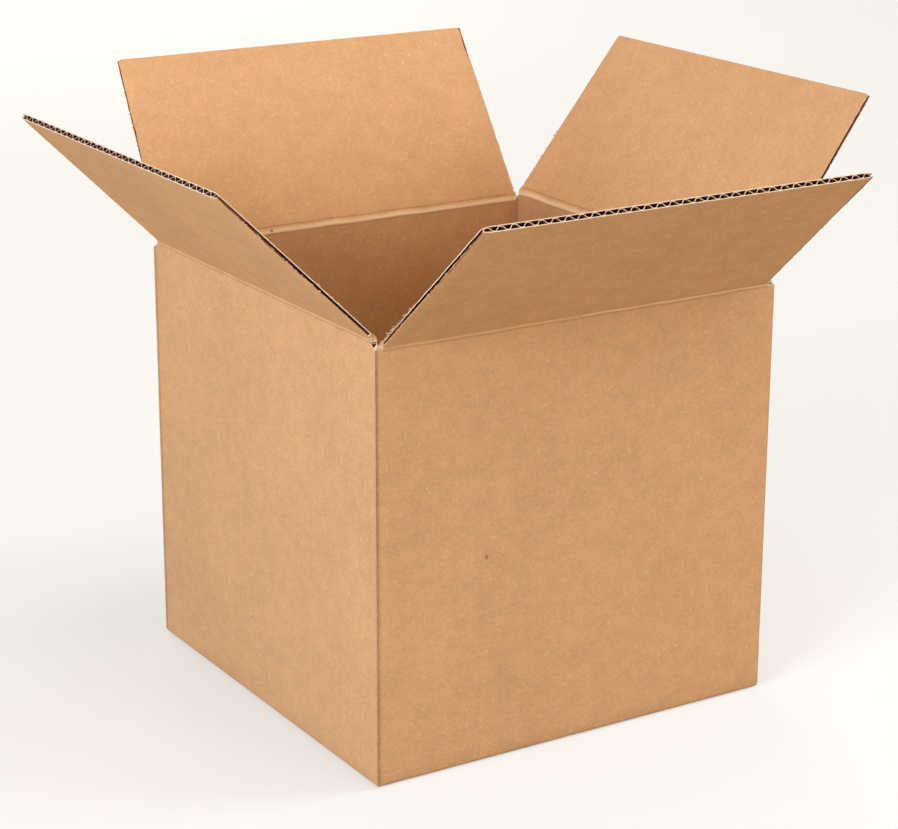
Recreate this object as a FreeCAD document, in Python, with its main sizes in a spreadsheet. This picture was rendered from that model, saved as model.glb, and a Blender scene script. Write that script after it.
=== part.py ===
# Open square shipping carton, folded and glued from one sheet of fluted board, with its
# four top flaps spread. Millimetres, +Z up, origin at the centre of the base.
# The front wall faces -Y and the left wall faces -X.
import FreeCAD, Part
import math
import os

import Sketcher

os.makedirs("parts", exist_ok=True)
doc = FreeCAD.newDocument("Carton")

# Driving dimensions.
SIZES = {
    "inside_side": 254,      # clear width between opposite walls
    "board": 3.8,            # thickness of the fluted board
    "liner": 0.4,            # paper on each face of the board
    "medium": 0.4,           # fluted paper between the liners
    "flute_pitch": 7.9,      # one wave of the fluted paper
    "flute_tip": 1.0,        # narrow width of the hollow under each wave
    "crease_height": 252,    # floor to the creases of the left and right flaps
    "flap_length": 118,      # crease to free edge of each top flap
    "slot_width": 10,        # cut between two flaps, centred on the corner fold
    "flap_taper": 4,         # how far each side of a flap draws in towards its free edge
    "press_width": 8,        # strip beside a crease where the flutes are pressed shut
    "fold_gap": 0.3,         # clearance between two folded faces
    "corner_radius": 3,      # outer radius of the corner and base folds
    "base_seam": 2,          # gap between two bottom flaps that meet
    "tab_width": 32,         # glue tab inside the back left corner
    "tab_drop": 12,          # how far the tab stops short of the crease and of the base
    "tab_slope": 6,          # rise of the tab's slanted ends
    "front_tilt": 48.5,      # lean of each flap from upright, outwards
    "back_tilt": 32,
    "left_tilt": 45.5,
    "right_tilt": 37.5,
}
sheet = doc.addObject("Spreadsheet::Sheet", "Sizes")
for row, (alias, value) in enumerate(SIZES.items(), start=1):
    sheet.set("A%d" % row, alias)
    sheet.set("B%d" % row, str(value))
    sheet.setAlias("B%d" % row, alias)
doc.recompute()

# Sizes that follow from the driving ones.
HALF_IN = "(Sizes.inside_side / 2)"
HALF_OUT = "(Sizes.inside_side / 2 + Sizes.board)"
SLOT_END = "(Sizes.inside_side / 2 + Sizes.board - Sizes.slot_width / 2)"
AXIS_OUT = "(Sizes.fold_gap / 2)"
RELIEF = "(Sizes.fold_gap * (1 + sqrt(2)) / 2)"
HIGH_CREASE = "Sizes.crease_height"
LOW_CREASE = "(Sizes.crease_height - Sizes.board - Sizes.fold_gap)"


def origin_plane(body, role):
    """One of the body's own origin planes."""
    return next(feature for feature in body.Origin.OriginFeatures if feature.Role == role)


def new_sketch(body, name, role, offset="0"):
    """A sketch on an origin plane of the body, moved along the plane's normal by offset."""
    sketch = body.newObject("Sketcher::SketchObject", name)
    sketch.AttachmentSupport = [(origin_plane(body, role), "")]
    sketch.MapMode = "FlatFace"
    sketch.setExpression("AttachmentOffset.Base.z", offset)
    doc.recompute()
    return sketch


def polygon(sketch, corners):
    """A closed outline whose corners are pairs of expressions, each held to the origin."""
    points = [FreeCAD.Vector(*(float(sketch.evalExpression(text)) for text in corner)) for corner in corners]
    first = sketch.GeometryCount
    count = len(points)
    for index in range(count):
        line = Part.LineSegment(points[index], points[(index + 1) % count])
        sketch.addGeometry(line, False)
    for index in range(count):
        follower = first + (index + 1) % count
        sketch.addConstraint(Sketcher.Constraint("Coincident", first + index, 2, follower, 1))
    for index, (corner, point) in enumerate(zip(corners, points)):
        for kind, text, value in (("DistanceX", corner[0], point.x), ("DistanceY", corner[1], point.y)):
            hold(sketch, kind, first + index, text, value)


def hold(sketch, kind, edge, text, value):
    """Keep the start of an edge at its distance from the sketch's origin."""
    if value < 0:
        constraint = Sketcher.Constraint(kind, edge, 1, -1, 1, -value)
        text = "-(%s)" % text
    else:
        constraint = Sketcher.Constraint(kind, -1, 1, edge, 1, value)
    number = sketch.addConstraint(constraint)
    sketch.setExpression("Constraints[%d]" % number, text)


def rectangle(sketch, low_x, low_y, high_x, high_y):
    polygon(sketch, [(low_x, low_y), (high_x, low_y), (high_x, high_y), (low_x, high_y)])


def pad(body, name, sketch, length):
    feature = body.newObject("PartDesign::Pad", name)
    feature.Profile = sketch
    feature.setExpression("Length", length)
    doc.recompute()
    return feature


def cut_through(body, name, sketch):
    """Cut the sketch through the whole body, to both sides of its plane."""
    before = body.Shape.Volume
    feature = body.newObject("PartDesign::Pocket", name)
    feature.Profile = sketch
    feature.Type = "ThroughAll"
    feature.Midplane = True
    doc.recompute()
    if body.Shape.Volume >= before:
        raise RuntimeError(name + " removes nothing")
    return feature


def mirrored_x(corners):
    """The outline on the other side of the sketch's upright axis."""
    return [("-(%s)" % across, up) for across, up in corners]


def outer_fold_edges(shape, half_side):
    """Names of the wall ring's outer corner edges and outer bottom edges."""
    names = []
    for index, edge in enumerate(shape.Edges, start=1):
        box = edge.BoundBox
        reach = max(abs(box.XMin), abs(box.XMax), abs(box.YMin), abs(box.YMax))
        upright = box.ZLength > half_side
        corner = min(abs(box.XMin), abs(box.YMin)) > half_side - 1e-6
        outer = reach > half_side - 1e-6
        at_floor = box.ZMax < 1e-6
        if outer and (at_floor or (upright and corner)):
            names.append("Edge%d" % index)
    return names


# The carton body: four walls, the glue tab and the closed bottom flaps, folded from one
# sheet. The bottom flaps are glued to each other, so none of them moves.
carton = doc.addObject("PartDesign::Body", "carton_body")
carton.Label = "carton_body"

wall_plan = new_sketch(carton, "wall_plan", "XY_Plane")
rectangle(wall_plan, "-" + HALF_OUT, "-" + HALF_OUT, HALF_OUT, HALF_OUT)
rectangle(wall_plan, "-" + HALF_IN, "-" + HALF_IN, HALF_IN, HALF_IN)
walls = pad(carton, "walls", wall_plan, "%s - %s" % (HIGH_CREASE, RELIEF))

folds = carton.newObject("PartDesign::Fillet", "corner_folds")
folds.Base = (walls, outer_fold_edges(walls.Shape, float(sheet.evalExpression(HALF_OUT))))
folds.setExpression("Radius", "Sizes.corner_radius")
doc.recompute()

# The front and back walls end one board lower than the side walls, so that their flaps
# close under the side flaps. Each wall's top is mitred for the flap to close over it.
low_top = "(%s - %s)" % (LOW_CREASE, RELIEF)
low_cut = [
    ("-(%s + Sizes.board)" % HALF_OUT, low_top),
    ("-" + HALF_OUT, low_top),
    ("-" + HALF_IN, low_top + " - Sizes.board"),
    ("-" + SLOT_END, low_top + " - Sizes.board"),
    ("-" + SLOT_END, "Sizes.crease_height"),
    ("-(%s + Sizes.board)" % HALF_OUT, "Sizes.crease_height"),
]
low_profile = new_sketch(carton, "front_and_back_wall_tops", "YZ_Plane")
polygon(low_profile, low_cut)
polygon(low_profile, mirrored_x(low_cut))
cut_through(carton, "low_wall_tops", low_profile)

high_top = "(%s - %s)" % (HIGH_CREASE, RELIEF)
high_cut = [
    ("-" + HALF_OUT, high_top),
    ("-" + HALF_IN, high_top + " - Sizes.board"),
    ("-" + HALF_IN, "Sizes.crease_height"),
    ("-" + HALF_OUT, "Sizes.crease_height"),
]
high_profile = new_sketch(carton, "side_wall_tops", "XZ_Plane")
polygon(high_profile, high_cut)
polygon(high_profile, mirrored_x(high_cut))
cut_through(carton, "high_wall_tops", high_profile)

# The bottom flaps: the side pair lies on the floor, and the front and back pair on it.
half_seam = "(Sizes.base_seam / 2)"
lower_plan = new_sketch(carton, "lower_bottom_flaps", "XY_Plane")
rectangle(lower_plan, "-" + HALF_IN, "-" + SLOT_END, "-" + half_seam, SLOT_END)
rectangle(lower_plan, half_seam, "-" + SLOT_END, HALF_IN, SLOT_END)
pad(carton, "lower_flaps", lower_plan, "Sizes.board")

upper_plan = new_sketch(carton, "upper_bottom_flaps", "XY_Plane", "Sizes.board")
rectangle(upper_plan, "-" + SLOT_END, "-" + HALF_IN, SLOT_END, "-" + half_seam)
rectangle(upper_plan, "-" + SLOT_END, half_seam, SLOT_END, HALF_IN)
pad(carton, "upper_flaps", upper_plan, "Sizes.board")

# The glue tab is the end of the back wall, folded against the inside of the left wall.
tab_plan = new_sketch(carton, "glue_tab_outline", "YZ_Plane", "-" + HALF_IN)
tab_free = "(%s - Sizes.tab_width)" % HALF_IN
tab_low = "(2 * Sizes.board + Sizes.tab_drop)"
tab_high = "(%s - Sizes.tab_drop)" % LOW_CREASE
polygon(tab_plan, [
    (HALF_IN, tab_low),
    (HALF_IN, tab_high),
    (tab_free, tab_high + " - Sizes.tab_slope"),
    (tab_free, tab_low + " + Sizes.tab_slope"),
])
pad(carton, "glue_tab", tab_plan, "Sizes.board")


def flute_hollows(sketch, first_x):
    """The two hollows of one wave, one open to each liner."""
    middle = "(%s + Sizes.board / 2)" % AXIS_OUT
    reach = "(Sizes.board / 2 - Sizes.liner)"
    wide = "((Sizes.flute_pitch - Sizes.flute_tip - 2.5 * Sizes.medium) / 2)"
    narrow = "(Sizes.flute_tip / 2)"
    for side, shift in (("-", ""), ("+", " + Sizes.flute_pitch / 2")):
        centre = "(%s%s)" % (first_x, shift)
        broad_y = "%s %s %s" % (middle, side, reach)
        other = "+" if side == "-" else "-"
        tip_y = "%s %s (%s - Sizes.medium)" % (middle, other, reach)
        polygon(sketch, [
            ("%s - %s" % (centre, wide), broad_y),
            ("%s + %s" % (centre, wide), broad_y),
            ("%s + %s" % (centre, narrow), tip_y),
            ("%s - %s" % (centre, narrow), tip_y),
        ])


def top_flap(name, crease, yaw, tilt):
    """A top flap, drawn upright about its crease and then turned and leaned outwards.

    In the flap's own frame the crease is the X axis, the flap rises along Z and its
    outer face looks to -Y.
    """
    flap = doc.addObject("PartDesign::Body", name)
    flap.Label = name

    outline = new_sketch(flap, name + "_outline", "XZ_Plane", "-(%s + Sizes.board)" % AXIS_OUT)
    free_end = "(%s - Sizes.flap_taper)" % SLOT_END
    polygon(outline, [
        ("-" + SLOT_END, RELIEF),
        (SLOT_END, RELIEF),
        (free_end, "Sizes.flap_length"),
        ("-" + free_end, "Sizes.flap_length"),
    ])
    pad(flap, name + "_board", outline, "Sizes.board")

    # The crease end is mitred, so that the flap can close over the wall.
    mitre = new_sketch(flap, name + "_mitre", "YZ_Plane")
    polygon(mitre, [
        (AXIS_OUT, RELIEF),
        ("%s + Sizes.board" % AXIS_OUT, RELIEF),
        ("%s + Sizes.board" % AXIS_OUT, RELIEF + " + Sizes.board"),
    ])
    cut_through(flap, name + "_mitred", mitre)

    # The flutes run from the free edge to the pressed strip beside the crease.
    waves = "floor(2 * %s / Sizes.flute_pitch)" % SLOT_END
    section = new_sketch(flap, name + "_section", "XY_Plane", "Sizes.flap_length")
    flute_hollows(section, "-((%s - 0.5) * Sizes.flute_pitch / 2)" % waves)
    solid_volume = flap.Shape.Volume
    flute = flap.newObject("PartDesign::Pocket", name + "_flute")
    flute.Profile = section
    flute.setExpression("Length", "Sizes.flap_length - Sizes.press_width")
    doc.recompute()
    flutes = flap.newObject("PartDesign::LinearPattern", name + "_flutes")
    flutes.Originals = [flute]
    flutes.Direction = (section, ["H_Axis"])
    flutes.setExpression("Occurrences", waves)
    flutes.setExpression("Length", "(%s - 1) * Sizes.flute_pitch" % waves)
    flap.Tip = flutes
    doc.recompute()
    if flap.Shape.Volume > 0.8 * solid_volume:
        raise RuntimeError(name + " has lost its flutes")

    # The crease lies just outside the wall's outer face.
    heading = math.radians(yaw)
    out_x = round(math.sin(heading))
    out_y = round(-math.cos(heading))
    place = "(%s + %s)" % (HALF_OUT, AXIS_OUT)
    spot = "vector(%d * %s; %d * %s; %s)" % (out_x, place, out_y, place, crease)
    turn = "rotation(vector(0; 0; 1); %d) * rotation(vector(1; 0; 0); Sizes.%s)" % (yaw, tilt)
    flap.setExpression("Placement", "placement(%s; %s)" % (spot, turn))
    return flap


sub_parts = [
    carton,
    top_flap("front_flap", LOW_CREASE, 0, "front_tilt"),
    top_flap("back_flap", LOW_CREASE, 180, "back_tilt"),
    top_flap("left_flap", HIGH_CREASE, -90, "left_tilt"),
    top_flap("right_flap", HIGH_CREASE, 90, "right_tilt"),
]
doc.recompute()

for item in doc.Objects:
    if "Invalid" in item.State or "Error" in item.State:
        raise RuntimeError(item.Label + " did not build")
for body in sub_parts:
    if body.Shape.isNull() or not body.Shape.isValid() or len(body.Shape.Solids) != 1:
        raise RuntimeError(body.Label + " is not one valid solid")
for body in sub_parts:
    body.Shape.exportStep("parts/%s.step" % body.Label)
    print(body.Label, round(body.Shape.Volume), "mm3", len(body.Shape.Faces), "faces")
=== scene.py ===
import math
import random

import bmesh
import bpy
from mathutils import Matrix, Vector, noise
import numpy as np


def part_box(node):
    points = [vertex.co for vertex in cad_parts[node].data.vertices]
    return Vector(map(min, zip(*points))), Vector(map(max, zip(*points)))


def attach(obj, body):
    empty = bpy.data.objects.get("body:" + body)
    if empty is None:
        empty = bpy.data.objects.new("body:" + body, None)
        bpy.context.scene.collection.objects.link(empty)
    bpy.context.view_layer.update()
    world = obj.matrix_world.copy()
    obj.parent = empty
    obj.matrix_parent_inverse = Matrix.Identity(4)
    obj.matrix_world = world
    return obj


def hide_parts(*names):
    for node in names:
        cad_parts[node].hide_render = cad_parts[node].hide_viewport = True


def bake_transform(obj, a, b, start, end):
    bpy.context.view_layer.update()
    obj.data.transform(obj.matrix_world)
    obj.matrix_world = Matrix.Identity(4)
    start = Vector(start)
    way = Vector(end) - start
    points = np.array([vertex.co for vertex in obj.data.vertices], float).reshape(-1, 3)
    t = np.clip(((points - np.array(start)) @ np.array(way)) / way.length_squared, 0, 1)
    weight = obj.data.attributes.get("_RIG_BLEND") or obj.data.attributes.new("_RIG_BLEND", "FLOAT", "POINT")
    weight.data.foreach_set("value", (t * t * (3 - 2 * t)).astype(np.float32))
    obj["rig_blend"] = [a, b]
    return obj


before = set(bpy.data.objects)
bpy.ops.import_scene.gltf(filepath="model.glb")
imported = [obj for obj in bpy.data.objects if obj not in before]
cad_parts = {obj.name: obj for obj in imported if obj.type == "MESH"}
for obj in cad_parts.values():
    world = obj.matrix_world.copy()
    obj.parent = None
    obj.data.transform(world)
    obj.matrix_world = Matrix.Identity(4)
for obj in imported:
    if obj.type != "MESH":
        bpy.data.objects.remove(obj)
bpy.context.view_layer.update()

# The viewpoint: a long lens looks down on the carton's front left corner from about a metre
# and a half away. The carton fills most of the picture.
azimuth, elevation, roll = math.radians(-31.96), math.radians(17.628), math.radians(0.178)
sideways, upward, distance = -0.00315, 0.14895, 1.5438
away = Vector((
    math.sin(azimuth) * math.cos(elevation),
    -math.cos(azimuth) * math.cos(elevation),
    math.sin(elevation),
))
level = Vector((0, 0, 1)).cross(away).normalized()
rise = away.cross(level)
right = math.cos(roll) * level + math.sin(roll) * rise
top = math.cos(roll) * rise - math.sin(roll) * level
lens = bpy.data.cameras.new("viewpoint")
lens.sensor_width = 36
lens.lens = 101.42
camera = bpy.data.objects.new("viewpoint", lens)
stand_at = sideways * right + upward * top + distance * away
facing = Matrix((right, top, away)).transposed().to_4x4()
camera.matrix_world = Matrix.Translation(stand_at) @ facing
bpy.context.scene.collection.objects.link(camera)
bpy.context.scene.camera = camera


# Kraft paper: the brown liner on both faces of the board, pressed from long unbleached fibres,
# with paler fibres and dark flecks of bark in it. It darkens where a fold is pressed, and there it
# also carries painted shade in the grooves and valleys of the folds. It pales where a fold
# stretches it, and there it also carries a painted highlight on the creases' bead and ridge. Its
# patterns follow the board as it was before the flaps leaned.
flute_pitch = 7.9
fibre_colour = (0.83, 0.62, 0.40, 1.0)
# Paler paper where a fold stretches it, and a painted highlight on the creases' bead and ridge.
stretched_and_highlight_colour = (0.95, 0.70, 0.44, 1.0)
bark_colour = (0.16, 0.075, 0.03, 1.0)
large_flecks = (((-61.6, -130.8, 121.0), 0.7), ((-53.1, 126.7, 247.5), 1.9))


def add_node(tree, kind, feeds, **settings):
    """A node with its settings, whose inputs take a value or another node's output."""
    node = tree.nodes.new(kind)
    for name, value in settings.items():
        setattr(node, name, value)
    for name, feed in feeds.items():
        if isinstance(feed, bpy.types.NodeSocket):
            tree.links.new(feed, node.inputs[name])
        else:
            node.inputs[name].default_value = feed
    return node


def calculate(tree, operation, *feeds, clamp=False):
    """The result of a Math node on one or two inputs."""
    settings = {"operation": operation, "use_clamp": clamp}
    return add_node(tree, "ShaderNodeMath", dict(enumerate(feeds)), **settings).outputs[0]


def calculate_vector(tree, operation, feeds):
    """A Vector Math node, whose outputs are a vector and a value."""
    return add_node(tree, "ShaderNodeVectorMath", feeds, operation=operation).outputs


def band(tree, value, low, high, to_low=0.0, to_high=1.0):
    """The value carried from low..high to to_low..to_high with a soft start and end."""
    feeds = {"Value": value, "From Min": low, "From Max": high}
    feeds.update({"To Min": to_low, "To Max": to_high})
    mapped = add_node(tree, "ShaderNodeMapRange", feeds, interpolation_type="SMOOTHSTEP")
    return mapped.outputs["Result"]


def tint(tree, share, colour, other):
    """One colour mixed into another by a share."""
    mix = add_node(tree, "ShaderNodeMix", {"Factor": share}, data_type="RGBA")
    for number, feed in ((6, colour), (7, other)):
        if isinstance(feed, bpy.types.NodeSocket):
            tree.links.new(feed, mix.inputs[number])
        else:
            mix.inputs[number].default_value = feed
    return mix.outputs[2]


paper = bpy.data.node_groups.new("kraft_paper", "ShaderNodeTree")
paper_sockets = {
    "INPUT": {"Place": "Vector", "Colour": "Color", "Press Tone And Painted Light": "Float", "Flute Lines": "Float"},
    "OUTPUT": {"Colour": "Color", "Roughness": "Float", "Height": "Float"},
}
for side, sockets in paper_sockets.items():
    for name, kind in sockets.items():
        paper.interface.new_socket(name=name, in_out=side, socket_type="NodeSocket" + kind)
given = paper.nodes.new("NodeGroupInput")
result = paper.nodes.new("NodeGroupOutput")

millimetres = calculate_vector(paper, "SCALE", {0: given.outputs["Place"], "Scale": 1000.0})[0]
along_wall = calculate_vector(paper, "MULTIPLY", {0: millimetres, 1: (0.75, 0.75, 1.0)})[0]


def paper_noise(vector, scale, detail, roughness=0.5, distortion=0.0):
    """A noise over the paper, whose scale is a share of 1/mm."""
    feeds = {"Vector": vector, "Scale": scale, "Detail": detail}
    feeds.update({"Roughness": roughness, "Distortion": distortion})
    return add_node(paper, "ShaderNodeTexNoise", feeds).outputs["Fac"]


# Uneven pulp, from broad clouds down to the grain of the fibres.
cloud = band(paper, paper_noise(millimetres, 0.016, 2.0), 0.25, 0.75, -0.03, 0.03)
mottle = band(paper, paper_noise(along_wall, 0.12, 3.0, 0.55), 0.25, 0.75, -0.045, 0.045)
grain = band(paper, paper_noise(along_wall, 0.62, 3.0, 0.6), 0.2, 0.8, -0.085, 0.085)

# Pale fibres are thin broken lines that wander over it.
wander = calculate(paper, "SUBTRACT", paper_noise(millimetres, 0.24, 2.0, 0.5, 1.3), 0.5)
ridge = band(paper, calculate(paper, "ABSOLUTE", wander), 0.0, 0.022, 1.0, 0.0)
broken = band(paper, paper_noise(millimetres, 0.36, 1.0), 0.53, 0.63)
pale_fibre = calculate(paper, "MULTIPLY", ridge, broken)

# Bark shows as a few small dark specks, and as two larger flecks that the photograph shows.
feeds = {"Vector": millimetres, "Scale": 0.085, "Randomness": 1.0}
bark = add_node(paper, "ShaderNodeTexVoronoi", feeds)
draw = add_node(paper, "ShaderNodeSeparateColor", {"Color": bark.outputs["Color"]}).outputs[0]
dot = band(paper, bark.outputs["Distance"], 0.02, 0.05, 1.0, 0.0)
speck = calculate(paper, "MULTIPLY", dot, band(paper, draw, 0.62, 0.66))
for centre, squash in large_flecks:
    reach = calculate_vector(paper, "SUBTRACT", {0: millimetres, 1: centre})[0]
    reach = calculate_vector(paper, "MULTIPLY", {0: reach, 1: (1.0, 1.0, squash)})[0]
    reach = calculate_vector(paper, "LENGTH", {0: reach})["Value"]
    speck = calculate(paper, "MAXIMUM", speck, band(paper, reach, 0.5, 1.3, 1.4, 0.0))

# The flutes below leave faint upright lines on a wall.
split = add_node(paper, "ShaderNodeSeparateXYZ", {"Vector": millimetres})
per_mm = math.tau / flute_pitch
turns = [calculate(paper, "MULTIPLY", split.outputs[axis], per_mm) for axis in (0, 1)]
waves = [calculate(paper, "COSINE", turn) for turn in turns]
both_ways = calculate(paper, "ADD", *waves)
flute_line = calculate(paper, "MULTIPLY", both_ways, given.outputs["Flute Lines"])

shade = calculate(paper, "ADD", cloud, mottle)
shade = calculate(paper, "ADD", shade, calculate(paper, "ADD", grain, flute_line))
# Painted shade: the paper darkens in the grooves and valleys of the folds, partly as crushed paper.
press_darkening_and_shade = calculate(paper, "MULTIPLY", given.outputs["Press Tone And Painted Light"], 0.35, clamp=True)
# Painted highlight: the paper pales on the creases' bead and ridge, partly as stretched paper.
stretch_paling_and_highlight = calculate(paper, "MULTIPLY", given.outputs["Press Tone And Painted Light"], -1.0, clamp=True)
tone = calculate(paper, "ADD", calculate(paper, "SUBTRACT", shade, press_darkening_and_shade), 1.0)
coloured = calculate_vector(paper, "SCALE", {0: given.outputs["Colour"], "Scale": tone})[0]
coloured = tint(paper, calculate(paper, "MULTIPLY", pale_fibre, 0.45), coloured, fibre_colour)
coloured = tint(paper, stretch_paling_and_highlight, coloured, stretched_and_highlight_colour)
coloured = tint(paper, calculate(paper, "MULTIPLY", speck, 0.55), coloured, bark_colour)
grain_height = calculate(paper, "MULTIPLY", grain, 4.0)
height = calculate(paper, "ADD", grain_height, calculate(paper, "MULTIPLY", pale_fibre, 0.5))
height = calculate(paper, "ADD", height, calculate(paper, "MULTIPLY", mottle, 3.0))
paper.links.new(coloured, result.inputs["Colour"])
paper.links.new(band(paper, grain, -0.1, 0.1, 0.78, 0.9), result.inputs["Roughness"])
paper.links.new(height, result.inputs["Height"])


def paper_material(name, colour, flute_lines, relief):
    """Kraft paper of one colour, that reads the board's own place and the marks of its folds, with their
    painted shade and painted highlight.
    """
    material = bpy.data.materials.new(name)
    material.use_nodes = True
    tree = material.node_tree
    surface = tree.nodes["Principled BSDF"]
    place = add_node(tree, "ShaderNodeAttribute", {}, attribute_name="board_place")
    pressed = add_node(tree, "ShaderNodeAttribute", {}, attribute_name="pressed")
    feeds = {"Place": place.outputs["Vector"], "Press Tone And Painted Light": pressed.outputs["Fac"]}
    feeds.update({"Colour": colour, "Flute Lines": flute_lines})
    kraft = add_node(tree, "ShaderNodeGroup", feeds, node_tree=paper)
    feeds = {"Strength": relief, "Distance": 0.0003, "Height": kraft.outputs["Height"]}
    bump = add_node(tree, "ShaderNodeBump", feeds)
    tree.links.new(kraft.outputs["Colour"], surface.inputs["Base Color"])
    tree.links.new(kraft.outputs["Roughness"], surface.inputs["Roughness"])
    tree.links.new(bump.outputs["Normal"], surface.inputs["Normal"])
    surface.inputs["Specular IOR Level"].default_value = 0.2
    return material


liner_brown = (0.600, 0.328, 0.157, 1.0)
# The fluting's own brown, painted much darker as painted shade in the hollows of the flutes.
fluting_brown_and_painted_shade = (0.155, 0.036, 0.013, 1.0)
cut_edge_cream = (0.760, 0.590, 0.430, 1.0)
liner_paper = paper_material("kraft_liner", liner_brown, 0.004, 0.35)
fluting_paper_in_painted_shade = paper_material("kraft_fluting_painted_shade", fluting_brown_and_painted_shade, 0.0, 0.25)
cut_paper = paper_material("kraft_cut_edge", cut_edge_cream, 0.0, 0.5)
papers = [liner_paper, fluting_paper_in_painted_shade, cut_paper]
liner, fluting, cut_edge = range(3)


# The four walls: one strip of fluted board, creased and folded at the corners. A fold's edge
# stands sharp on one side and the board sinks beside it on the other, along a line that the
# flutes make wander. Between two flaps a slot is cut down to a rim with open flutes.
half_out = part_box("carton_body")[1].x
board = 0.0038
slot_half = 0.005
slot_end = half_out - slot_half
foot_height = 0.003
strip_foot = 0.240
slot_floor = 0.2474
slot_rise = 0.0028
wall_rows = 30
post_rows = (0.2425, 0.245, slot_floor)
rim_paper = 0.00045
rim_width = 0.004
closed_corner = 0.0018
open_flute = 0.003
sharp_angle = 0.6
near_zero = 1e-5

# The profile beside a fold: millimetres from the corner, and how far the board has sunk as a
# share of the fold's depth. A fold also wanders sideways, and darkens the paper beside it, partly
# as crushed paper and partly as painted shade in its groove.
fold_reach = 4.9
fold_depth = 0.001
fold_wander = 0.00035
fold_tone_and_shade = 0.8
fold = (
    (0.00, 0.50), (0.06, 0.24), (0.22, 0.10), (0.45, 0.20), (0.85, 0.42), (1.35, 0.52),
    (1.90, 0.46), (2.50, 0.28), (3.20, 0.10), (4.10, 0.02), (5.00, 0.00),
)
# The rounded foot of the walls: how far each row drops, and how far it draws in.
foot_rows = ((0.0013, 0.0004), (0.0009, 0.0008), (0.0005, 0.0009), (0.0003, 0.0013))


def record_place(bm):
    """Keep each point's place on the board, for the paper's pattern."""
    place = bm.verts.layers.float_vector.new("board_place")
    for vert in bm.verts:
        vert[place] = vert.co


def finish_piece(name, bm, body=None):
    """A mesh object in its place, whose edges stay sharp where two faces meet at an angle."""
    for face in bm.faces:
        face.smooth = True
    for edge in bm.edges:
        edge.smooth = edge.calc_face_angle(0.0) < sharp_angle
    mesh = bpy.data.meshes.new(name)
    bm.to_mesh(mesh)
    bm.free()
    for material in papers:
        mesh.materials.append(material)
    piece = bpy.data.objects.new(name, mesh)
    bpy.context.scene.collection.objects.link(piece)
    if body:
        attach(piece, body)
    return piece


def verts_of(items):
    """The vertices among what an operator returned."""
    return [item for item in items if isinstance(item, bmesh.types.BMVert)]


def grow(bm, edges, height):
    """Extrude a rim of edges straight up to a height, and give the new rim."""
    grown = bmesh.ops.extrude_edge_only(bm, edges=edges)["geom"]
    for vert in verts_of(grown):
        vert.co.z = height
    new_edges = [item for item in grown if isinstance(item, bmesh.types.BMEdge)]
    return [edge for edge in new_edges if len({round(v.co.z, 6) for v in edge.verts}) == 1]


# One wall's outline is drawn from corner to corner, then turned three times and joined.
bm = bmesh.new()
pressed = bm.verts.layers.float.new("pressed")
stops = [along / 1000 for along, sunk in fold] + [step * half_out / 8 for step in range(1, 16)]
stops += [half_out + slot_end, 2 * half_out - 0.0025, 2 * half_out - 0.0012]
tip = bmesh.ops.create_vert(bm, co=(-half_out, -half_out, foot_height))["vert"][0]
for stop in stops[1:]:
    tip = bmesh.ops.extrude_vert_indiv(bm, verts=[tip])["verts"][0]
    tip.co.x = stop - half_out
bmesh.ops.spin(bm, geom=bm.verts[:] + bm.edges[:], cent=(0, 0, 0), axis=(0, 0, 1), dvec=(0, 0, 0),
               angle=math.tau * 0.75, steps=3, use_duplicate=True)
ends = [vert for vert in bm.verts if len(vert.link_edges) == 1]
while ends:
    one = ends.pop()
    other = min(ends, key=lambda vert: (vert.co - one.co).length)
    ends.remove(other)
    bm.edges.new((one, other))

# From there the walls go down to their foot and up to the strips that the flaps begin with.
# Only the corner posts go on to the slots' rims, which rise towards the side walls' creases.
rim = bm.edges[:]
foot_rim = rim
for drop, draw_in in foot_rows:
    foot_rim = grow(bm, foot_rim, foot_rim[0].verts[0].co.z - drop)
    for vert in {vert for edge in foot_rim for vert in edge.verts}:
        vert.co.x *= 1 - draw_in / half_out
        vert.co.y *= 1 - draw_in / half_out
for step in range(1, wall_rows + 1):
    rim = grow(bm, rim, foot_height + (strip_foot - foot_height) * step / wall_rows)


def in_post(vert):
    """Whether a point lies in a corner post, between two slots' edges."""
    return min(abs(vert.co.x), abs(vert.co.y)) > slot_end - near_zero


posts = [edge for edge in rim if all(in_post(vert) for vert in edge.verts)]
for height in post_rows:
    posts = grow(bm, posts, height)
for vert in bm.verts:
    if vert.co.z > slot_floor - near_zero and abs(vert.co.x) > half_out - near_zero:
        vert.co.z += slot_rise * min(1.0, (half_out - abs(vert.co.y)) / slot_half)
bmesh.ops.recalc_face_normals(bm, faces=bm.faces)
middle = bm.faces[0].calc_center_median()
if bm.faces[0].normal.dot(Vector((middle.x, middle.y, 0))) < 0:
    bmesh.ops.reverse_faces(bm, faces=bm.faces)
bm.normal_update()

# The board's thickness goes inwards, and its inner face is square at the corners.
outside = set(bm.verts)
bmesh.ops.solidify(bm, geom=bm.faces[:], thickness=board)
inner = [vert for vert in bm.verts if vert not in outside]
inside = half_out - board
for vert in inner:
    vert.co.x = max(-inside, min(inside, vert.co.x))
    vert.co.y = max(-inside, min(inside, vert.co.y))
    in_corner = min(abs(vert.co.x), abs(vert.co.y)) > inside - near_zero
    if vert.co.z > slot_floor - near_zero and in_corner:
        vert.co.z = slot_floor + slot_rise * board / slot_half

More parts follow.
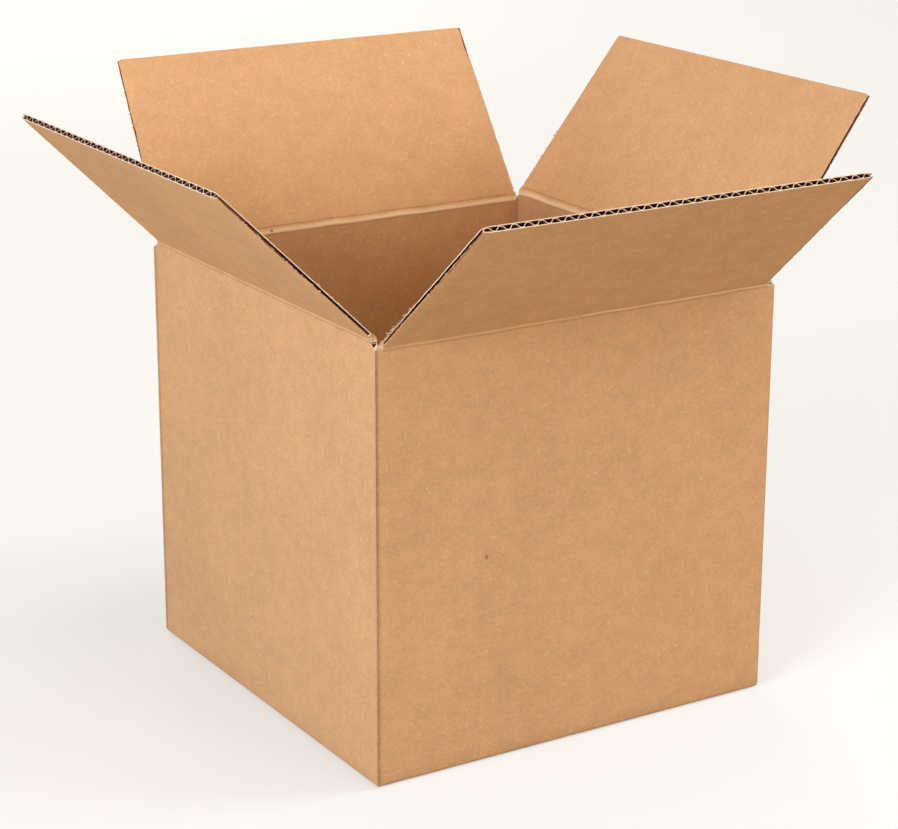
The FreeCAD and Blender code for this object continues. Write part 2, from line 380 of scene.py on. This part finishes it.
# Each fold is pressed into the outer face, and the paper in its groove is darkened, partly as painted shade.
for quarter in range(4):
    turn = Matrix.Rotation(math.tau * quarter / 4, 3, "Z")
    for vert in outside:
        spot = turn.inverted() @ vert.co
        along = (spot.x + half_out) * 1000
        on_wall = abs(spot.y + half_out) < near_zero and spot.z > foot_height - 0.0001
        if along < fold_reach and on_wall:
            low = max(pair for pair in fold if pair[0] < along + 0.01)
            high = min(pair for pair in fold if pair[0] > along + 0.01)
            sunk = low[1] + (high[1] - low[1]) * max(0.0, along - low[0]) / (high[0] - low[0])
            drift = noise.noise(Vector((quarter * 7.0, 0, spot.z * 45)))
            uneven = noise.noise(Vector((quarter * 7.0, 4.0, spot.z * 60)))
            # Painted shade in the groove beside the fold, partly the crushed paper's own darkening.
            vert[pressed] = fold_tone_and_shade * math.exp(-((along - 1.4) / 1.5) ** 2)
            spot.x += fold_wander * drift * min(1.0, along / 0.6)
            spot.y += fold_depth * sunk * (1 + 0.4 * uneven)
            vert.co = turn @ spot
bmesh.ops.remove_doubles(bm, verts=inner, dist=near_zero)
bm.normal_update()
for face in bm.faces:
    if 0 < sum(vert in outside for vert in face.verts) < len(face.verts):
        face.material_index = cut_edge

# The rims are opened between the two liners, down to the inside of the flutes, whose paper is painted dark
# as painted shade.
holes = []
for face in bm.faces:
    spot = face.calc_center_median()
    near = half_out - max(abs(spot.x), abs(spot.y))
    far = half_out - min(abs(spot.x), abs(spot.y))
    on_rim = face.normal.z > 0.8 and spot.z > slot_floor - 1e-4
    if on_rim and near < rim_width and far > closed_corner:
        holes.append(face)
bmesh.ops.inset_region(bm, faces=holes, thickness=rim_paper, use_even_offset=True)
dropped = bmesh.ops.extrude_face_region(bm, geom=holes)["geom"]
bmesh.ops.delete(bm, geom=holes, context="FACES_ONLY")
bmesh.ops.translate(bm, vec=(0, 0, -open_flute), verts=verts_of(dropped))
for item in dropped:
    if isinstance(item, bmesh.types.BMFace):
        for face in {item} | {face for edge in item.edges for face in edge.link_faces}:
            face.material_index = fluting
record_place(bm)
walls = finish_piece("carton_walls", bm, "carton_body")
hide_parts("carton_body")


# The board itself: two kraft liners glued to a fluted paper between them, with the flutes
# running up. A board is drawn upright in millimetres, with its crease along X at height 0, its
# outer face at depth 0 and its inner face at 3.8 towards +Y. It is cut across the flutes.
board_depth = 3.8
board_half = 125.8
liner_thickness = 0.45
flute_thickness = 0.34
liner_columns = 88
flute_columns = 352


def paper_sheet(bm, columns, stations, half_width, shape, thickness, papers_of, trims=()):
    """A sheet whose rows stand at the stations and whose points a rule puts in place.

    Its papers are those of its first face, its other face and its cut sides."""
    steps = len(stations) - 1
    grid = bmesh.ops.create_grid(bm, x_segments=columns, y_segments=steps, size=0.5)["verts"]
    for vert in grid:
        up = stations[round((vert.co.y + 0.5) * steps)]
        vert.co = shape(2 * vert.co.x * half_width, up)
    sheet = list({face for vert in grid for face in vert.link_faces})
    for spot, facing in trims:
        parts = sheet + list({edge for face in sheet for edge in face.edges})
        parts += list({vert for face in sheet for vert in face.verts})
        cut = bmesh.ops.bisect_plane(
            bm, geom=parts, dist=1e-4, plane_co=spot, plane_no=facing, clear_outer=True)
        sheet = [item for item in cut["geom"] if isinstance(item, bmesh.types.BMFace)]
    bm.normal_update()
    front = {vert for face in sheet for vert in face.verts}
    known = set(bm.faces) - set(sheet)
    bmesh.ops.solidify(bm, geom=sheet, thickness=thickness)
    for face in set(bm.faces) - known:
        on_front = sum(vert in front for vert in face.verts)
        if on_front == len(face.verts):
            face.material_index = papers_of[0]
        elif on_front == 0:
            face.material_index = papers_of[1]
        elif min(vert.co.z for vert in face.verts) < stations[-1] - 1:
            face.material_index = papers_of[2]
        else:
            face.material_index = cut_edge


def fluted_board(bm, stations, sides, faces_at, seed, phase=0.0):
    """Two liners and the fluting between them.

    Sides is the half width at the crease and at the free end, and the cut there is ragged."""
    length = stations[-1]
    ragged = Vector((0, 0, seed))

    def liner_shape(inner):
        row = inner * 36 + 11

        def shape(across, up):
            x = across * (1 - (1 - sides[1] / sides[0]) * max(0.0, up) / length)
            if abs(across) > sides[0] - 1e-4:
                torn = 0.4 * noise.noise(Vector((row, across, up / 2.3)) + ragged)
                x += torn * min(1.0, max(0.0, up + 6) / 6)
            if up > length - 1e-4:
                up += 0.16 * noise.noise(Vector((across / 2.1, row, 3.0)) + ragged)
            return (x, faces_at(across, up)[inner] - liner_thickness * inner, up)
        return shape

    def fluting_shape(across, up):
        outer, inner = faces_at(across, up)
        reach = max(0.05, (inner - outer) / 2 - liner_thickness - flute_thickness / 2)
        wave = math.tanh(1.5 * math.cos(math.tau * across / flute_pitch + phase)) / math.tanh(1.5)
        middle = (outer + inner - flute_thickness) / 2
        return (across, middle + reach * wave, min(up, length - 0.15))

    width = sides[0]
    # The liners' faces towards the flutes take the fluting's painted shade too.
    outer_papers, inner_papers = (liner, fluting, liner), (fluting, liner, cut_edge)
    paper_sheet(bm, liner_columns, stations, width, liner_shape(0), liner_thickness, outer_papers)
    paper_sheet(bm, liner_columns, stations, width, liner_shape(1), liner_thickness, inner_papers)
    rows = [up for up in stations if up > 1.9 and (up == length or up % 12 < 4)]
    trims = [((side * width, 0, 0), (side * length, 0, width - sides[1])) for side in (-1, 1)]
    all_fluting = (fluting, fluting, fluting)
    paper_sheet(bm, flute_columns, rows, width, fluting_shape, flute_thickness, all_fluting, trims)


# The bottom flaps: four boards folded in at the foot of the walls. The side pair lies on the
# floor and the front and back pair is glued on top of it. Each pair meets at a narrow seam.
leaf_rows = [0.0, 2.0, 24.0, 48.0, 72.0, 96.0, 120.0, 126.0]
leaves = ((-90, board, 5.0), (90, board, 6.0), (0, 2 * board, 7.0), (180, 2 * board, 8.0))
lie_down = Matrix.Rotation(math.radians(-90), 4, "X")
base = bmesh.new()
for yaw, top_face, seed in leaves:
    leaf = bmesh.new()
    sides = (board_half, board_half)
    fluted_board(leaf, leaf_rows, sides, lambda across, up: (0.0, board_depth), seed)
    bmesh.ops.scale(leaf, vec=(0.001, 0.001, 0.001), verts=leaf.verts)
    at_wall = Matrix.Translation((0, -half_out + board, top_face))
    lie = Matrix.Rotation(math.radians(yaw), 4, "Z") @ at_wall @ lie_down
    bmesh.ops.transform(leaf, matrix=lie, verts=leaf.verts)
    spare = bpy.data.meshes.new("leaf")
    leaf.to_mesh(spare)
    leaf.free()
    base.from_mesh(spare)
    bpy.data.meshes.remove(spare)
record_place(base)
finish_piece("bottom_flaps", base, "carton_body")


# The glue tab: the end of the back wall, of the same board, folded against the inside of the
# left wall and glued there. Its ends are cut at a slant, so that it never reaches a crease.
tab_width = 0.032
tab_long_side = (0.0196, 0.2359)
tab_short_side = (0.0256, 0.2299)
tab_rounding = 0.0006
bm = bmesh.new()
first = bmesh.ops.create_vert(bm, co=(-inside, inside, tab_long_side[0]))["vert"][0]
tip = first
tab_end = inside - tab_width
corners = ((inside, tab_long_side[1]), (tab_end, tab_short_side[1]), (tab_end, tab_short_side[0]))
for along, height in corners:
    tip = bmesh.ops.extrude_vert_indiv(bm, verts=[tip])["verts"][0]
    tip.co = (-inside, along, height)
bm.edges.new((tip, first))
outline = bmesh.ops.contextual_create(bm, geom=bm.edges[:])["faces"]
grown = bmesh.ops.extrude_face_region(bm, geom=outline)["geom"]
bmesh.ops.translate(bm, vec=(board, 0, 0), verts=verts_of(grown))
bmesh.ops.recalc_face_normals(bm, faces=bm.faces)
bmesh.ops.bevel(
    bm, geom=bm.edges[:], offset=tab_rounding, affect="EDGES", segments=2, profile=0.5, material=-1)
record_place(bm)
finish_piece("glue_tab", bm, "carton_body")


# The top flaps: the board of each wall goes on over a pressed crease, which folds it. The press
# leaves two valleys with a fine ridge between them outside, and a bead under a groove inside.
# A flap and the strip of wall under its crease are one piece of board, which bends there.
side_crease = 0.252
front_crease = 0.2479
flap_length = 118.0
flap_end_half = 121.8
rows_at_crease = [step * 0.25 for step in range(-9, 8)]
flap_rows = [-4.5, -3.5, -3.0, -2.5] + rows_at_crease + [2.0, 2.5, 3.0, 4.0, 6.0, 9.0]
flap_rows += [12.0 + 4 * step for step in range(26)] + [115.0, 117.0, flap_length]

# Across the crease: how far above it each mark of the press lies, and its half width.
low_valley, high_valley = (-1.35, 0.4), (0.95, 0.3)
ridge_line = (-0.2, 0.55)
bead_line, bead_top_width = (-0.9, 1.0), 0.8
groove_line = (0.9, 0.35)
bend_reach = 0.003

# Torn fibres along a side: their depth in the board, the heights between which they stand,
# how many there are and how long they get.
fibre_rows = ((3.1, (1, 48), 12, 1.2), (1.0, (0, 110), 26, 1.2))


def swell(near, line):
    """The soft rise and fall of one of the press's marks, from 0 to 1."""
    return math.exp(-((near - line[0]) / line[1]) ** 2)


def crease_line(across):
    """How far the crease that the press made wanders up or down from its straight line."""
    slow = noise.noise(Vector((across / 24, 5.0, 0)))
    return 0.4 * slow + 0.15 * noise.noise(Vector((across / 6, 9.0, 0)))


def ridge_share(across, most):
    """How far the fine ridge between the outside valleys has come up, along the crease."""
    uneven = 0.5 * noise.noise(Vector((across / 28, 13.0, 0)))
    return most * max(0.0, 0.62 + 0.28 * across / board_half + uneven)


def faces_at_crease(across, up, most):
    """Depths of the board's outer and inner face, in millimetres. Cutting has pinched its edges."""
    near = up - crease_line(across)
    squeeze = 0.2 * swell(near, (0.0, 2.5))
    valleys = 0.3 * swell(near, low_valley) + 0.2 * swell(near, high_valley)
    ridge = 0.3 * ridge_share(across, most) * swell(near, ridge_line)
    on_top = near > bead_line[0]
    bead = 0.5 * swell(near, (bead_line[0], bead_top_width) if on_top else bead_line)
    groove = 0.4 * swell(near, groove_line)
    side = 0.75 * swell(abs(across), (board_half, 2.5)) * min(1.0, max(0.0, up / 3))
    pinch = side + 0.17 * swell(up, (flap_length, 2.0))
    return valleys + squeeze + pinch - ridge, board_depth + bead - groove - squeeze - pinch


def leaned(spot, lean):
    """A point turned about the hinge, which lies just outside the outer face.

    The bend is soft, and sharper on the outer face, where it lies above the ridge."""
    depth = min(1.0, max(0.0, spot.y / board))
    reach = 0.0006 + 0.001 * depth
    share = min(1.0, max(0.0, (spot.z - 0.0004 * (1 - depth) + reach) / (2 * reach)))
    turn = Matrix.Rotation(lean * share * share * (3 - 2 * share), 3, "X")
    hinge = Vector((0, -0.00015, 0))
    return turn @ (spot - hinge) + hinge


def thicken(bm, grid, thickness):
    """Give a small grid its thickness, in the paper of a cut edge."""
    sheet = list({face for vert in grid for face in vert.link_faces})
    bm.normal_update()
    bmesh.ops.solidify(bm, geom=sheet, thickness=thickness)
    for face in {face for vert in grid for edge in vert.link_edges for face in edge.link_faces}:
        face.material_index = cut_edge


def crushed_end(bm, side, most):
    """The flutes that the press has crushed, where the slot lays the crease's end open."""
    plug = bmesh.ops.create_grid(bm, x_segments=6, y_segments=12, size=0.5)["verts"]
    for vert in plug:
        up = 0.7 + 3.4 * vert.co.y
        outer, inner = faces_at_crease(side * board_half, up, most)
        sunk = 0.25 + 0.25 * noise.noise(Vector((side * 3, 6 * vert.co.x, up * 1.6)))
        depth = outer + 0.4 + (inner - outer - 0.8) * (0.5 - side * vert.co.x)
        vert.co = (side * (board_half - sunk), depth, up)
    thicken(bm, plug, 1.2)


def torn_fibres(bm, side, depth, heights, longest, chance):
    """Slivers of torn paper that stand out from a side of the board, thin and curled."""
    narrowing = board_half - flap_end_half
    for height in heights:
        length = chance.uniform(0.3, longest)
        width = chance.uniform(0.3, 1.1)
        sliver = bmesh.ops.create_grid(bm, x_segments=3, y_segments=1, size=0.5)["verts"]
        curl, lift = chance.uniform(-0.8, 0.8), chance.uniform(-0.6, 1.0)
        for vert in sliver:
            reach = vert.co.x + 0.5
            thin = width * (1 - 0.75 * reach) * vert.co.y
            x = board_half - narrowing * max(0.0, height) / flap_length - 0.15 + reach * length
            vert.co = (side * x, depth + curl * reach * reach, height + thin + lift * reach)
        thicken(bm, sliver, 0.2)


def top_flap(name, yaw, crease, lean, seed, phase, ridge, tears):
    """A flap with the strip of wall below it, leaned as it stands in the photograph.

    Phase shifts its flutes, ridge is how far its outside ridge has come up, and tears counts
    the longer fibres torn from each of its sides."""
    bm = bmesh.new()
    foot = (strip_foot - crease) * 1000
    rows = [foot, foot / 2 - 2.0] + flap_rows
    sides = (board_half, flap_end_half)
    fluted_board(
        bm, rows, sides, lambda across, up: faces_at_crease(across, up, ridge), seed, phase)
    chance = random.Random(int(seed))
    for side in (-1, 1):
        crushed_end(bm, side, ridge)
        for depth, span, count, longest in fibre_rows + ((3.0, (3, 44), tears, 2.8),):
            heights = [chance.uniform(*span) for _ in range(count)]
            torn_fibres(bm, side, depth, heights, longest, chance)
    bmesh.ops.scale(bm, vec=(0.001, 0.001, 0.001), verts=bm.verts)
    bm.verts.layers.float_vector.new("board_place")
    bm.verts.layers.float.new("pressed")
    place = bm.verts.layers.float_vector["board_place"]
    pressed = bm.verts.layers.float["pressed"]
    stand = Matrix.Rotation(math.radians(yaw), 4, "Z") @ Matrix.Translation((0, -half_out, crease))
    for vert in bm.verts:
        vert[place] = stand @ vert.co
        across = vert.co.x * 1000
        near = vert.co.z * 1000 - crease_line(across)
        # Inside, the groove is darkened as painted shade and the bead paled as a painted highlight. Outside,
        # the valleys are darkened as painted shade and the ridge paled as a painted highlight. Each is
        # partly the crushed or stretched paper itself.
        if vert.co.y > board / 2:
            bead = swell(near, (bead_line[0], bead_top_width))
            vert[pressed] = 0.5 * swell(near, groove_line) - 0.95 * bead
        else:
            raised = ridge_share(across, ridge) * swell(near, ridge_line)
            sunken = 0.5 * swell(near, low_valley) + 0.3 * swell(near, high_valley)
            vert[pressed] = sunken - 0.4 * raised
        vert.co = stand @ leaned(vert.co, math.radians(lean))
    piece = finish_piece(name + "_board", bm)
    start = stand @ Vector((0, 0, -bend_reach))
    end = stand @ leaned(Vector((0, 0, bend_reach)), math.radians(lean))
    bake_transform(piece, "carton_body", name, start, end)
    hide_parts(name)


# Name, direction, crease height, lean in degrees, seed, phase, ridge and tears.
top_flap("front_flap", 0, front_crease, 48.5, 1.0, 0.4, 1.0, 22)
top_flap("back_flap", 180, front_crease, 32.0, 2.0, 1.9, 0.6, 4)
top_flap("left_flap", -90, side_crease, 45.5, 3.0, -1.07, 0.15, 3)
top_flap("right_flap", 90, side_crease, 37.5, 4.0, 0.8, 0.5, 4)


# The studio: a plain pale floor, that looks as pale far away as near, and large soft lamps. Cool
# light comes from both sides and warmer light from the front, above and behind, as it falls on
# the carton in the photograph. A pale warm room fills the shadows.
floor_albedo = (0.52, 0.48, 0.41, 1)
floor_colour = (0.44, 0.435, 0.425, 1)
floor_glow = (1.0, 0.99, 0.97, 1)
glow_under_lamps, glow_far_away = 0.46, 0.81
lamps_reach, lamps_end = 0.9, 4.6
floor_half = 12
floor_mesh = bmesh.new()
bmesh.ops.create_grid(floor_mesh, x_segments=1, y_segments=1, size=floor_half)
floor_data = bpy.data.meshes.new("floor")
floor_mesh.to_mesh(floor_data)
floor_mesh.free()
floor = bpy.data.objects.new("floor", floor_data)
bpy.context.scene.collection.objects.link(floor)
floor_data.materials.append(bpy.data.materials.new("floor"))
floor_data.materials[0].use_nodes = True
tree = floor_data.materials[0].node_tree
ray = tree.nodes.new("ShaderNodeLightPath").outputs["Is Camera Ray"]
floor_paint = tree.nodes["Principled BSDF"]
tree.links.new(tint(tree, ray, floor_albedo, floor_colour), floor_paint.inputs["Base Color"])
spot = add_node(tree, "ShaderNodeTexCoord", {}).outputs["Object"]
far_out = calculate_vector(tree, "LENGTH", {0: spot})["Value"]
glow = band(tree, far_out, lamps_reach, lamps_end, glow_under_lamps, glow_far_away)
tree.links.new(calculate(tree, "MULTIPLY", ray, glow), floor_paint.inputs["Emission Strength"])
floor_paint.inputs["Emission Color"].default_value = floor_glow
floor_paint.inputs["Roughness"].default_value = 0.9

room_light, room_strength = (1.0, 0.90, 0.73, 1), 0.092
room_seen = (0.86, 0.85, 0.83, 1)
carton_middle = Vector((0, 0, 0.15))


def soft_light(name, spot, size, power, colour):
    """A square lamp of a size in metres and a power in watts, turned to the carton."""
    lamp = bpy.data.lights.new(name, "AREA")
    lamp.size = size
    lamp.energy = power
    lamp.color = colour
    holder = bpy.data.objects.new(name, lamp)
    holder.location = spot
    holder.rotation_mode = "QUATERNION"
    holder.rotation_quaternion = (Vector(spot) - carton_middle).to_track_quat("Z", "Y")
    bpy.context.scene.collection.objects.link(holder)


soft_light("window", (-2.4, -0.9, 0.9), 1.2, 71, (0.76, 0.855, 1.0))
soft_light("left", (-2.2, -1.2, 1.9), 1.8, 13, (0.97, 0.93, 0.86))
soft_light("right", (2.4, -0.9, 1.5), 1.4, 53, (0.765, 0.86, 1.0))
soft_light("front", (0.9, -2.6, 0.9), 1.4, 20.5, (1.0, 0.87, 0.68))
soft_light("overhead", (0.2, -0.4, 2.6), 2.2, 33.5, (1.0, 0.91, 0.69))
soft_light("rear", (0.6, 2.7, 1.5), 1.8, 31, (1.0, 0.88, 0.74))
room = bpy.data.worlds.new("room")
room.use_nodes = True
bpy.context.scene.world = room
tree = room.node_tree
lit = tree.nodes["Background"]
lit.inputs["Color"].default_value = room_light
lit.inputs["Strength"].default_value = room_strength
seen = add_node(tree, "ShaderNodeBackground", {"Color": room_seen, "Strength": 1.0})
path = tree.nodes.new("ShaderNodeLightPath")
choice = add_node(tree, "ShaderNodeMixShader", {0: path.outputs["Is Camera Ray"]})
tree.links.new(lit.outputs[0], choice.inputs[1])
tree.links.new(seen.outputs[0], choice.inputs[2])
tree.links.new(choice.outputs[0], tree.nodes["World Output"].inputs["Surface"])
bpy.context.scene.view_settings.view_transform = "Standard"
